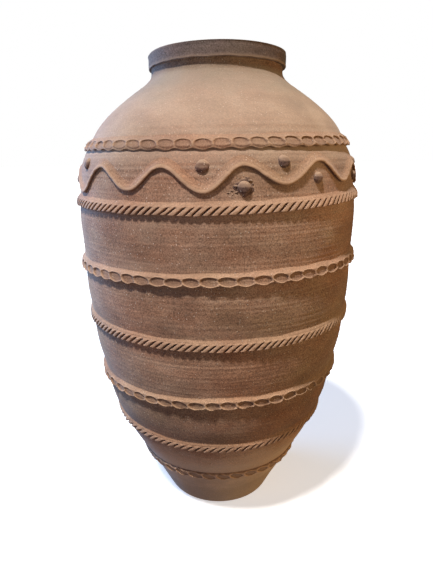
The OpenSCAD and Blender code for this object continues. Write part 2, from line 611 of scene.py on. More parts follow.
# Height in metres, made uneven by noise, and the tint there: paler low down; darker above
# that, a painted shade for the shadow of the belly and the bands on the lower wall; and darker
# again at the neck, a painted shade for the shadow under the collar.
HEIGHT_TINT_AND_SHADE = (
    (0.10, (1.02, 1.00, 0.95)),
    (0.15, (1.38, 1.38, 1.34)),
    (0.22, (1.28, 1.27, 1.22)),
    (0.27, (0.78, 0.76, 0.71)),
    (0.34, (0.80, 0.78, 0.73)),
    (0.44, (0.92, 0.92, 0.90)),
    (0.60, (1.0, 1.0, 1.0)),
    (0.86, (1.0, 1.0, 1.0)),
    (0.91, (0.66, 0.70, 0.70)),
)
GRIT_COLOUR = (0.74, 0.63, 0.54)
PIT_COLOUR = (0.09, 0.048, 0.03)


@dataclass(frozen=True)
class ClayPatterns:
    """The patterns that a clay finish's colour, roughness and relief share.

    Tone is a wide cloud mixed with patch, a finer one. Lines run round the jar.
    """

    place: bpy.types.NodeSocket
    patch: bpy.types.NodeSocket
    tone: bpy.types.NodeSocket
    lines: bpy.types.NodeSocket
    grain: bpy.types.NodeSocket
    grit: bpy.types.NodeSocket
    pits: bpy.types.NodeSocket


@dataclass(frozen=True)
class ClaySkin:
    """A fired clay finish: clouded tones, throwing lines, grain, grit, pits, bloom and dust.

    Colours are linear red, green and blue. Each of these is a share from 0 to 1: lines, how
    strong the throwing lines are; grain, bloom, sheen and grit, how much of each shows. Two more
    shares give how much of the dust colour lies on what faces up, which is dust and also painted
    light on the tops, and how much of the tint with height shows, which is partly painted shade.
    A pair of upward parts of the surface's direction gives where that colour on the tops starts
    and where it is full. The dust colour also paints the highlights.
    """

    name: str
    deep: Colour
    middle: Colour
    pale: Colour
    lines: float = 0.34
    grain: float = 1.0
    bloom: float = 0.30
    sheen: float = 0.15
    top_dust_and_light: float = 0.75
    facing_up_range: tuple[float, float] = (0.0, 0.55)
    height_tint_and_shade: float = 1.0
    grit: float = 0.65
    dust_and_highlight: Colour = (0.55, 0.405, 0.295)

    def material(self) -> bpy.types.Material:
        """Builds the finish from noise and cells on Object coordinates.

        Its colour is laid on in the order of making: the clay, its grit and pits, the dust with
        its painted light on the tops, the smudge, the paler foot and the tint with height with its
        painted shade, and last the painted highlights and painted shade from the mesh's marks.

        Returns:
            The material.
        """
        made = bpy.data.materials.new(self.name)
        made.use_nodes = True
        made.node_tree.nodes.clear()
        kit = SkinNodes(made.node_tree)
        marks = self.patterns(kit)
        colour = self.speckled(kit, marks, self.clay(kit, marks))
        colour = self.dusted_and_top_lit(kit, marks, colour)
        colour = self.smudged_and_tinted_by_height(kit, marks, colour)
        colour = self.light_shade_marks(kit, colour)

        shader = kit.add("ShaderNodeBsdfPrincipled")
        shader.inputs["Specular IOR Level"].default_value = 0.22
        shader.inputs["Sheen Weight"].default_value = self.sheen
        shader.inputs["Sheen Roughness"].default_value = 0.55
        kit.link(colour, shader.inputs["Base Color"])
        rough = kit.ramp(marks.patch, ((0.3, grey(0.82)), (0.7, grey(0.96))))
        kit.link(rough, shader.inputs["Roughness"])
        kit.link(self.relief(kit, marks), shader.inputs["Normal"])
        out = kit.add("ShaderNodeOutputMaterial")
        kit.link(shader.outputs["BSDF"], out.inputs["Surface"])
        return made

    def patterns(self, kit: SkinNodes) -> ClayPatterns:
        """Makes the patterns that the parts of the finish share.

        Args:
            kit: The finish's nodes.

        Returns:
            The patterns, read on Object coordinates.
        """
        place = kit.add("ShaderNodeTexCoord").outputs["Object"]
        cloud = kit.noise(place, 5.5, 5.0, 0.62)
        patch = kit.noise(kit.stretched(place, (14.0, 14.0, 26.0)), 1.0, 4.0, 0.6)
        return ClayPatterns(
            place=place,
            patch=patch,
            tone=kit.blend("MIX", 0.42, cloud, patch),
            lines=kit.noise(kit.stretched(place, (6.0, 6.0, 330.0)), 1.0, 3.0, 0.6),
            grain=kit.noise(place, 420.0, 4.0, 0.78),
            grit=kit.specks(place, 250.0, 0.20, 0.74),
            pits=kit.specks(place, 170.0, 0.15, 0.86),
        )

    def clay(self, kit: SkinNodes, marks: ClayPatterns) -> bpy.types.NodeSocket:
        """The bare clay: a cloud of three tones, times streaks, throwing lines and grain.

        Args:
            kit: The finish's nodes.
            marks: Its patterns.

        Returns:
            The clay's colour.
        """
        tones = ((0.36, self.deep), (0.50, self.middle), (0.64, self.pale))
        colour = kit.ramp(marks.tone, tones)
        streaks = kit.noise(kit.stretched(marks.place, (2.6, 2.6, 46.0)), 1.0, 4.0, 0.65)
        tint = kit.ramp(streaks, ((0.34, grey(0.80)), (0.66, (1.16, 1.15, 1.14))))
        colour = kit.blend("MULTIPLY", 0.22, colour, tint)
        tint = kit.ramp(marks.lines, ((0.38, grey(0.86)), (0.62, grey(1.10))))
        colour = kit.blend("MULTIPLY", self.lines, colour, tint)
        tint = kit.ramp(marks.grain, ((0.38, (0.52, 0.50, 0.49)), (0.62, grey(1.5))))
        return kit.blend("MULTIPLY", self.grain, colour, tint)

    def speckled(
        self, kit: SkinNodes, marks: ClayPatterns, colour: bpy.types.NodeSocket
    ) -> bpy.types.NodeSocket:
        """Adds pale grit, dark pits, and redder and yellower patches.

        Args:
            kit: The finish's nodes.
            marks: Its patterns.
            colour: The colour so far.

        Returns:
            The new colour.
        """
        grit = kit.sum("MULTIPLY", marks.grit, self.grit)
        colour = kit.blend("MIX", grit, colour, GRIT_COLOUR)
        colour = kit.blend("MIX", kit.sum("MULTIPLY", marks.pits, 0.6), colour, PIT_COLOUR)
        hues = kit.noise(kit.stretched(marks.place, (4.3, 4.3, 7.0)), 1.0, 5.0, 0.6)
        redder, yellower = (1.10, 0.93, 0.84), (0.96, 1.03, 0.96)
        tint = kit.ramp(hues, ((0.38, redder), (0.52, grey(1.0)), (0.64, yellower)))
        return kit.blend("MULTIPLY", 1.0, colour, tint)

    def dusted_and_top_lit(
        self, kit: SkinNodes, marks: ClayPatterns, colour: bpy.types.NodeSocket
    ) -> bpy.types.NodeSocket:
        """Adds a pale bloom in clouds, and dust that settled on what faces up.

        Args:
            kit: The finish's nodes.
            marks: Its patterns, of which tone makes the colour on the tops uneven.
            colour: The colour so far.

        Returns:
            The new colour.
        """
        haze = kit.noise(kit.stretched(marks.place, (5.0, 5.0, 17.0)), 1.0, 6.0, 0.68)
        haze = kit.ramp(haze, ((0.50, grey(0.0)), (0.74, grey(self.bloom))))
        colour = kit.blend("MIX", haze, colour, self.dust_and_highlight)
        # Dust colour on what faces up: dust, and also painted light on the tops.
        facing = kit.split(kit.add("ShaderNodeTexCoord").outputs["Normal"])
        starts, full = self.facing_up_range
        top_dust_and_light = kit.ramp(facing["Z"], ((starts, grey(0.0)), (full, grey(self.top_dust_and_light))))
        uneven = kit.ramp(marks.tone, ((0.3, grey(0.5)), (0.7, grey(1.0))))
        top_dust_and_light = kit.blend("MULTIPLY", 1.0, top_dust_and_light, uneven)
        return kit.blend("MIX", top_dust_and_light, colour, self.dust_and_highlight)

    def smudged_and_tinted_by_height(
        self, kit: SkinNodes, marks: ClayPatterns, colour: bpy.types.NodeSocket
    ) -> bpy.types.NodeSocket:
        """Adds the smudge, the dust colour mixed in round the foot, and the tint with height, which is
        partly painted shade.

        Args:
            kit: The finish's nodes.
            marks: Its patterns, of which patch moves the heights by up to 0.1 m.
            colour: The colour so far.

        Returns:
            The new colour.
        """
        away = kit.far_from(marks.place, SMUDGE, marks.patch)
        smudge = kit.ramp(away, ((0.0, grey(0.78)), (SMUDGE_RADIUS, grey(1.0))))
        colour = kit.blend("MULTIPLY", 1.0, colour, smudge)
        uneven = kit.sum("MULTIPLY_ADD", marks.patch, 0.10, 0.0)
        height = kit.sum("ADD", uneven, kit.split(marks.place)["Z"])
        # Paler towards the foot: the dust colour mixed in below about 0.2 m.
        foot_pale = kit.ramp(height, ((0.20, grey(0.60)), (0.25, grey(0.0))))
        colour = kit.blend("MIX", foot_pale, colour, self.dust_and_highlight)
        # The tint with height: painted shade on the lower wall and at the neck, paler low down.
        return kit.blend("MULTIPLY", self.height_tint_and_shade, colour, kit.ramp(height, HEIGHT_TINT_AND_SHADE))

    def light_shade_marks(self, kit: SkinNodes, colour: bpy.types.NodeSocket) -> bpy.types.NodeSocket:
        """Adds painted highlights in the dust colour and painted shade in hollows, from the mesh's
        marks of painted light and shade.

        Args:
            kit: The finish's nodes.
            colour: The colour so far.

        Returns:
            The finished colour.
        """
        painted_light_shade = kit.add("ShaderNodeAttribute")
        painted_light_shade.attribute_name = "painted_light_shade"
        # Positive marks are painted highlights and negative ones painted shade.
        highlit = kit.sum("MAXIMUM", painted_light_shade.outputs["Fac"], 0.0)
        sunk = kit.sum("MAXIMUM", kit.sum("MULTIPLY", painted_light_shade.outputs["Fac"], -1.0), 0.0)
        colour = kit.blend("MIX", kit.sum("MULTIPLY", highlit, 0.70), colour, self.dust_and_highlight)
        # The painted shade's colour: the deep tone darkened further.
        shade_colour = tuple(0.62 * level for level in self.deep)
        return kit.blend("MIX", kit.sum("MULTIPLY", sunk, 0.75), colour, shade_colour)

    def relief(self, kit: SkinNodes, marks: ClayPatterns) -> bpy.types.NodeSocket:
        """The bump: throwing lines, grain, small lumps, then raised grit and sunken pits.

        Args:
            kit: The finish's nodes.
            marks: Its patterns.

        Returns:
            The bent normal.
        """
        bent = kit.bump(marks.lines, 0.5 * MM, 0.55 * min(1.0, self.lines + 0.3), None)
        bent = kit.bump(marks.grain, 0.4 * MM, 0.6, bent)
        bent = kit.bump(kit.noise(marks.place, 150.0, 4.0, 0.6), 0.8 * MM, 0.5, bent)
        return kit.bump(kit.sum("SUBTRACT", marks.grit, marks.pits), 0.6 * MM, 0.7, bent)


@dataclass(frozen=True)
class WallCourses:
    """The rings of wall, each one coil of clay pulled up thin and smoothed."""

    form: JarForm
    row_step: float = 2 * MM
    least_rows: int = 12
    inner_rows: int = 14
    inner_turn: float = 1.0
    names: tuple[str, ...] = (
        "foot_course",
        "wall_course_1",
        "wall_course_2",
        "wall_course_3",
        "wall_course_4",
        "wall_course_5",
        "frieze_course",
        "shoulder_course",
    )

    def surface(self, low: float, high: float) -> Surface:
        """One ring between two seams.

        The section is the outside line going up and the inside line coming down. The outside has
        all of the wall's unevenness. The inside only wobbles, an inner turn out of step with it.

        Args:
            low: Height of the lower seam.
            high: Height of the upper seam.

        Returns:
            A ring that closes on itself in both directions.
        """
        form = self.form
        angle = np.arange(form.columns)[None, :] * FULL_TURN / form.columns
        rows = max(self.least_rows, round((high - low) / self.row_step))
        up = edged(low, high, rows)
        down = np.linspace(high, low, self.inner_rows)[:, None]
        outer = form.place(angle, form.wall(angle, up), up)
        inner_radius = form.inside(down) + form.wobble.at(angle + self.inner_turn, down)
        inner = form.place(angle, inner_radius, down)
        return Surface(np.concatenate([outer, inner]))

    def build(self, finish: bpy.types.Material) -> None:
        """Lays every ring of wall.

        Args:
            finish: The wall's clay.
        """
        form = self.form
        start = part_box("foot_course")[0].z
        stops = [start, *form.seam_heights, form.root_height]
        for name, low, high in zip(self.names, stops[:-1], stops[1:]):
            mesh = self.surface(low, high).mesh(f"{name}_clay")
            lay_piece(mesh, finish, [name])


@dataclass(frozen=True)
class BaseSlab:
    """The flat slab that the wall was built on."""

    form: JarForm
    worn_edge: float = 3 * MM
    worn_turn: float = 0.45
    floor_rise: float = 4 * MM
    floor_rows: int = 10

    def surface(self) -> Surface:
        """A turned slab: flat below, a worn lower edge, its side, and a flat floor inside.

        The worn edge is a round of the worn_edge's radius that ends the worn_turn short of
        upright. The floor starts at the foot course's inside line and is raised by floor_rise.

        Returns:
            A slab that closes at two poles on the axis.
        """
        form = self.form
        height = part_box("foot_course")[0].z
        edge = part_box("base_disc")[1].x
        floor = height + self.floor_rise
        turn = np.linspace(-math.pi / 2, -self.worn_turn, 7)
        flat_out = float(form.line(np.array(0.0))) - self.worn_edge
        lower = np.linspace(0.1 * flat_out, flat_out, 8)
        worn_r = flat_out + self.worn_edge * np.cos(turn)
        worn_z = self.worn_edge * (1 + np.sin(turn))
        side_z = np.linspace(worn_z[-1] + 1 * MM, height, 6)
        inner = float(form.inside(np.array(height)))
        floor_r = np.linspace(inner + 1 * MM, 0.1 * inner, self.floor_rows)
        floor_z = np.full(self.floor_rows, floor)
        floor_z[0] = height
        side_r = form.line(side_z)
        side_r[-1] = min(side_r[-1], edge)
        radius = np.concatenate([lower, worn_r[1:], side_r, floor_r])
        z = np.concatenate([0 * lower, worn_z[1:], side_z, floor_z])
        angle = np.arange(form.columns // 2)[None, :] * 2 * FULL_TURN / form.columns
        points = form.place(angle, radius[:, None], z[:, None])
        poles = (np.array([0.0, 0.0, 0.0]), np.array([0.0, 0.0, floor]))
        return Surface(points, shut=False, poles=poles)

    def build(self, finish: bpy.types.Material) -> None:
        """Lays the slab."""
        lay_piece(self.surface().mesh("base_disc_clay"), finish, ["base_disc"])


@dataclass(frozen=True)
class NeckAndRim:
    """The short neck and the flat-faced collar round its mouth.

    Groove is the brush lines that run round the collar's face, and ragged is the unevenness of
    its lower edge.
    """

    form: JarForm
    wobble: Unevenness = Unevenness(31, 0.45 * MM, (2, 9), (0.0, 20.0))
    groove: Unevenness = Unevenness(32, 0.35 * MM, (0, 2), (120.0, 260.0), 12)
    ragged: Unevenness = Unevenness(33, 0.3 * MM, (3, 28), (0.0, 1.0))
    lip_round: float = 3 * MM
    lip_drop: float = 0.5 * MM
    neck_sag: float = 0.3 * MM
    collar_sag: float = 0.25 * MM
    # Height over the collar's lower edge and width of the painted highlight along that edge.
    highlight_height: float = 1.8 * MM
    highlight_width: float = 1.4 * MM

    def neck(self) -> Surface:
        """The neck: up the outside, over a rounded lip and down the straight bore.

        Near the lip its inside sags by neck_sag x (1 - cos(3 x direction + 1)).

        Returns:
            A ring that closes on itself in both directions.
        """
        form = self.form
        top = form.top - self.lip_drop
        angle = np.arange(form.columns)[None, :] * FULL_TURN / form.columns
        up = edged(form.root_height, top - 1 * MM, 26)
        outer = form.place(angle, form.wall(angle, up), up)
        turn = np.linspace(math.pi / 2, math.pi, 8)
        bore = form.neck_radius - form.wall_thickness
        flat = np.linspace(form.neck_radius - 0.3 * MM, bore + self.lip_round + 1 * MM, 5)
        over_r = bore + self.lip_round * (1 + np.cos(turn))
        over_z = top - self.lip_round * (1 - np.sin(turn))
        down = np.linspace(top - self.lip_round - 2 * MM, form.root_height, 16)
        radius = np.concatenate([flat, over_r, np.maximum(form.inside(down), bore)])[:, None]
        z = np.concatenate([np.full(len(flat), top), over_z, down])[:, None]
        rough = self.wobble.at(angle, z) * 0.6
        sag = self.neck_sag * (np.cos(3 * angle + 1.0) - 1) * smooth(top - 8 * MM, top, z)
        inner = form.place(angle, radius + rough, z + sag)
        return Surface(np.concatenate([outer, inner]))

    def collar(self) -> Surface:
        """The collar: a strip with a flat face, a round upper edge and a crisper lower one.

        Its section is a four-cornered loop whose corners are rounded by their own radii. It sags
        by collar_sag x (1 - cos(2 x direction + 0.6)). A narrow bell just over its lower edge, of
        the highlight's set width round its set height, paints a highlight along that edge.

        Returns:
            A ring that closes on itself in both directions.
        """
        form = self.form
        low, high = (corner.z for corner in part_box("rim_collar"))
        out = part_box("rim_collar")[1].x - 0.3 * MM
        back = form.neck_radius - 3 * MM
        section = rounded_loop(
            (
                (back, low + 0.8 * MM, 0.3 * MM),
                (out - 0.3 * MM, low + 0.4 * MM, 1.2 * MM),
                (out, high - 0.6 * MM, 2.0 * MM),
                (back, high - 0.6 * MM, 0.3 * MM),
            )
        )
        angle = np.arange(form.columns)[None, :] * FULL_TURN / form.columns
        radius, z = section[:, 0][:, None], section[:, 1][:, None]
        face = smooth(form.neck_radius, out, radius)
        rough = (self.wobble.at(angle, z) - 0.3 * MM + self.groove.at(angle, z)) * face
        sag = self.collar_sag * (np.cos(2 * angle + 0.6) - 1)
        ragged = self.ragged.at(angle, 0 * z) * smooth(high - 8 * MM, low, z)
        # Painted highlight along the collar's lower edge.
        highlight = np.exp(-(((z - low - self.highlight_height) / self.highlight_width) ** 2))
        painted_light_shade = 0.8 * highlight * smooth(out - 3 * MM, out, radius) + 0 * angle
        return Surface(form.place(angle, radius + rough, z + sag + ragged), painted_light_shade=painted_light_shade)

    def build(self, finish: bpy.types.Material, rim_finish: bpy.types.Material) -> None:
        """Lays the neck and the collar.

        Args:
            finish: The wall's clay.
            rim_finish: The darker clay of the rim.
        """
        lay_piece(self.neck().mesh("neck_ring_clay"), finish, ["neck_ring"])
        lay_piece(self.collar().mesh("rim_collar_clay"), rim_finish, ["rim_collar"])


def rounded_loop(corners: tuple[tuple[float, float, float], ...]) -> np.ndarray:
    """A closed section from corners that are each cut by a small curve.

    Each corner becomes the curve a(1-t)^2 + 2ct(1-t) + bt^2, where c is the corner and a and b
    lie one rounding away from it along its two sides. Each side carries three points between.

    Args:
        corners: Distance, height and rounding of each corner, anticlockwise.

    Returns:
        The section's points, one row for each.
    """
    spots = np.array([corner[:2] for corner in corners])
    cuts = np.array([corner[2] for corner in corners])
    before = np.roll(spots, 1, axis=0) - spots
    after = np.roll(spots, -1, axis=0) - spots
    a = spots + before / np.linalg.norm(before, axis=1)[:, None] * cuts[:, None]
    b = spots + after / np.linalg.norm(after, axis=1)[:, None] * cuts[:, None]
    t = np.linspace(0, 1, 6)[None, :, None]
    bend = a[:, None] * (1 - t) ** 2 + 2 * spots[:, None] * t * (1 - t) + b[:, None] * t**2
    s = np.array([0.2, 0.5, 0.8])[None, :, None]
    side = b[:, None] * (1 - s) + np.roll(a, -1, axis=0)[:, None] * s
    return np.concatenate([bend, side], axis=1).reshape(-1, 2)


@dataclass(frozen=True)
class BandLay:
    """How one band lies on its seam.

    Its height above the seam, in millimetres, is lift + slide x sin(direction) + dip x
    cos(2 x direction). The first mark's direction is in degrees.
    """

    node: str
    seam: int
    marks: int
    first_mark: float
    lift: float
    slide: float
    dip: float
    seed: int

    def middle(self, form: JarForm, angle: np.ndarray) -> np.ndarray:
        """Height of the band's middle at a direction."""
        own = self.slide * np.sin(angle) + self.dip * np.cos(2 * angle)
        return form.seam_heights[self.seam] + (self.lift + own) * MM

    def mark_angles(self, jitter: float) -> np.ndarray:
        """Directions of the marks, even but for a seeded jitter given as a share of a step."""
        step = FULL_TURN / self.marks
        rng = np.random.default_rng(self.seed)
        shift = rng.uniform(-jitter, jitter, self.marks) * step
        return math.radians(self.first_mark) + np.arange(self.marks) * step + shift


# Stand-out at a band's upper edge as a share of that at its lower edge.
BACK_LEAN = 0.80

# The undercut lower sides: height over the band's middle and stand-out, in millimetres, of a
# band that stands out by SIDE_PROUD.
SIDE_PROUD = 9 * MM
LOWER_SIDE = ((-7.4, -0.9), (-8.1, 1.2), (-8.6, 3.2), (-9.0, 5.2), (-9.1, 7.0), (-8.8, 8.3))
ROPE_SIDE = ((-5.9, -0.9), (-6.6, 1.2), (-7.1, 3.2), (-7.4, 5.0), (-7.3, 6.6), (-6.9, 8.0))

# Height where a band's face ends and its upper slope begins.
SHOULDER = 5 * MM
FACE_ROWS = 23
SLOPE_ROWS = 13
BACK_ROWS = 3


def band_section(
    rows: tuple[tuple[float, float], ...], proud: float, top: float
) -> np.ndarray:
    """The closed section of a band as heights over its middle and stand-outs, in metres.

    It runs up the undercut lower side, over a face that leans back to BACK_LEAN, up a slope
    that eases into the wall as 1 - (3t^2 - 2t^3), and back down inside the wall.

    Args:
        rows: Height and stand-out of the lower side's points, in millimetres.
        proud: Stand-out of the face.
        top: Height where the slope meets the wall.

    Returns:
        Two columns, height and stand-out, with one row for each point.
    """
    lower = np.array(rows) * MM
    lower[:, 1] *= proud / SIDE_PROUD
    face = np.linspace(lower[-1, 0] + 0.6 * MM, SHOULDER, FACE_ROWS)
    slope = np.linspace(SHOULDER + 0.7 * MM, top + 0.7 * MM, SLOPE_ROWS)
    ease = BACK_LEAN * proud * (1 - smooth(SHOULDER - 1 * MM, top, slope))
    ease = ease - 0.35 * MM * (slope > top)
    up = np.stack([face, proud * np.linspace(1.0, BACK_LEAN, FACE_ROWS)], axis=1)
    over = np.stack([slope, ease], axis=1)
    back = np.array([[top - 2 * MM, -2.2 * MM], [4 * MM, -2.4 * MM], [-6 * MM, -2.2 * MM]])
    return np.concatenate([lower, up, over, back])


def section_part(count: int, start: int, stop: int) -> np.ndarray:
    """A column that is 1 for the rows from start up to stop and 0 for the others."""
    part = np.zeros((count, 1))
    part[start:stop] = 1
    return part


@dataclass(frozen=True)
class ThumbedBand:
    """A band with thumb dishes pressed side by side, each a little over the one before.

    Overlap is a dish's half length as a share of the step between dishes. Scallop is how far the
    lower edge bellies out and in. Smear from 0 to 1 makes stretches of dishes shallower, and
    crease from 0 to 1 folds the band down along its upper edge and paints shade along that fold,
    along the lower edge and over the whole band.
    """

    form: JarForm
    lay: BandLay
    proud: float = 7.9 * MM
    depth: float = 2.4 * MM
    half_height: float = 7.5 * MM
    middle: float = -1.5 * MM
    top: float = 11.8 * MM
    overlap: float = 0.53
    lean: float = -0.10
    scallop: float = 2.6 * MM
    lip: float = 1.4 * MM
    smear: float = 0.0
    crease: float = 0.0
    crease_depth: float = 1.2 * MM
    samples: int = 22
    limit: float = 8.7 * MM

    def pressed(
        self, angle: np.ndarray, across: np.ndarray, out: np.ndarray, face: np.ndarray
    ) -> tuple[np.ndarray, np.ndarray]:
        """Presses the dishes into the face, from left to right.

        A dish is a tilted oval in which e is the distance from its middle as a share of its
        half axes. Inside it the face sinks by depth x (1 - e^4)^0.8, and at e = 1 a lip of
        squeezed clay stands up as a narrow bell, lower along the top. Each later dish wipes out
        what it covers.

        Args:
            angle: Directions of the grid's points.
            across: Their heights over the band's middle.
            out: Their stand-out before pressing.
            face: How much each point takes part, from 0 to 1.

        Returns:
            The new stand-out, and each point's mark, from -1 for painted shade in a dish to 1 for a
            painted highlight on a lip.
        """
        lay, marks = self.lay, self.lay.marks
        rng = np.random.default_rng(lay.seed + 7)
        centres = lay.mark_angles(0.05)
        step = FULL_TURN / marks
        reach = self.form.seam_radii[lay.seam] + self.proud
        length = self.overlap * step * reach * rng.uniform(0.95, 1.08, marks)
        height = self.half_height * rng.uniform(0.92, 1.05, marks)
        middle = self.middle + rng.uniform(-0.5, 0.5, marks) * MM
        tilt = self.lean + rng.uniform(-0.13, 0.13, marks)
        depth = self.depth * rng.uniform(0.8, 1.12, marks)
        if self.smear:
            fade = 0.5 + 0.5 * np.cos(2 * centres + 0.7) * np.cos(5 * centres)
            depth = depth * (1 - self.smear * np.clip(fade + rng.uniform(-0.3, 0.3, marks), 0, 1))
        nearest = np.round((angle - centres[0]) / step).astype(int)
        light_shade_marks = np.zeros(out.shape)
        for shift in (-1, 0, 1):
            k = (nearest + shift) % marks
            along = apart(angle, centres[k]) * reach
            rise = across - middle[k]
            x = (along * np.cos(tilt[k]) + rise * np.sin(tilt[k])) / length[k]
            y = (rise * np.cos(tilt[k]) - along * np.sin(tilt[k])) / height[k]
            e = np.sqrt(x * x + y * y)
            strength = depth[k] / self.depth
            tilt_back = 1 - (1 - BACK_LEAN) * smooth(-9 * MM, 5 * MM, across)
            bowl = self.proud * tilt_back - depth[k] * np.clip(1 - e**4, 0, 1) ** 0.8
            share = smooth(1.05, 0.93, e) * face
            out = out * (1 - share) + bowl * share
            bell = np.exp(-(((e - 1.0) / 0.11) ** 2)) * face
            out = out + self.lip * bell * strength * (0.65 - 0.35 * np.clip(y, -1, 1))
            # Painted shade inside each dish, strongest near its rim.
            inner = 0.35 + 0.45 * np.exp(-(((e - 0.80) / 0.12) ** 2))
            light_shade_marks = light_shade_marks * (1 - share) - share * inner * strength
            # Painted highlight on the dish's lip.
            light_shade_marks = light_shade_marks * (1 - bell) + bell * strength * 0.9
        return out, light_shade_marks

    def surface(self) -> Surface:
        """The whole band.

        The section is carried round the seam at the band's wandering height, the lower edge
        bellies out under each dish by a cosine, and the dishes are pressed into the face, with
        less pull on the two rows under it. A crease is a bell just under the upper edge, painted
        with shade, and a second bell paints shade on the lower edge.

        Returns:
            A ring that closes on itself in both directions.
        """
        lay, form = self.lay, self.form
        columns = lay.marks * self.samples
        angle = np.arange(columns)[None, :] * FULL_TURN / columns
        section = band_section(LOWER_SIDE, self.proud, self.top)
        across = section[:, 0][:, None] + 0 * angle
        out = section[:, 1][:, None] + 0 * angle
        edge_row = len(LOWER_SIDE)
        shown = section_part(len(section), 0, len(section) - BACK_ROWS)
        face = section_part(len(section), edge_row, len(section) - BACK_ROWS)
        face = face * smooth(8.5 * MM, 6.0 * MM, across)
        face[edge_row - 2] = 0.35
        face[edge_row - 1] = 0.75
        wave = np.cos((angle - math.radians(lay.first_mark)) * lay.marks)
        edge = smooth(-2.0 * MM, -8.2 * MM, across)
        hand = Unevenness(lay.seed + 3, 0.4 * MM, (4, 60), (0.0, 1.0), 16).at(angle, 0 * angle)
        across = across - (self.scallop * 0.5 * (wave - 0.35) + hand) * edge * shown
        upper = Unevenness(lay.seed + 4, 0.9 * MM, (3, 30), (0.0, 1.0), 12).at(angle, 0 * angle)
        across = across + upper * smooth(5 * MM, 11 * MM, across) * shown
        out, light_shade_marks = self.pressed(angle + 0 * across, across, out, face)
        fold = np.exp(-(((across - self.top + 1.5 * MM) / (1.8 * MM)) ** 2)) * self.crease
        under = np.exp(-(((across + 8 * MM) / (2 * MM)) ** 2)) * self.crease
        out = out - self.crease_depth * fold * shown
        # Painted shade in the crease, on the lower edge and over the whole band; highlights are held
        # down.
        light_shade_marks = light_shade_marks - 0.9 * fold - 0.35 * under - 0.42 * self.crease
        light_shade_marks = np.clip(light_shade_marks, -1, 1 - 0.8 * self.crease)
        body = Unevenness(lay.seed + 5, 0.25 * MM, (8, 70), (0.0, 30.0), 16)
        lumps = body.at(angle, across) * smooth(0.5 * MM, 5 * MM, out)
        z = lay.middle(form, angle) + across
        radius = form.wall(angle, z) + out + lumps
        radius = np.minimum(radius, form.seam_radii[lay.seam] + self.limit)
        return Surface(form.place(angle, radius, z), painted_light_shade=light_shade_marks * shown)

    def build(self, finish: bpy.types.Material) -> None:
        """Lays the band."""
        mesh = self.surface().mesh(f"{self.lay.node}_clay")
        lay_piece(mesh, finish, [self.lay.node])


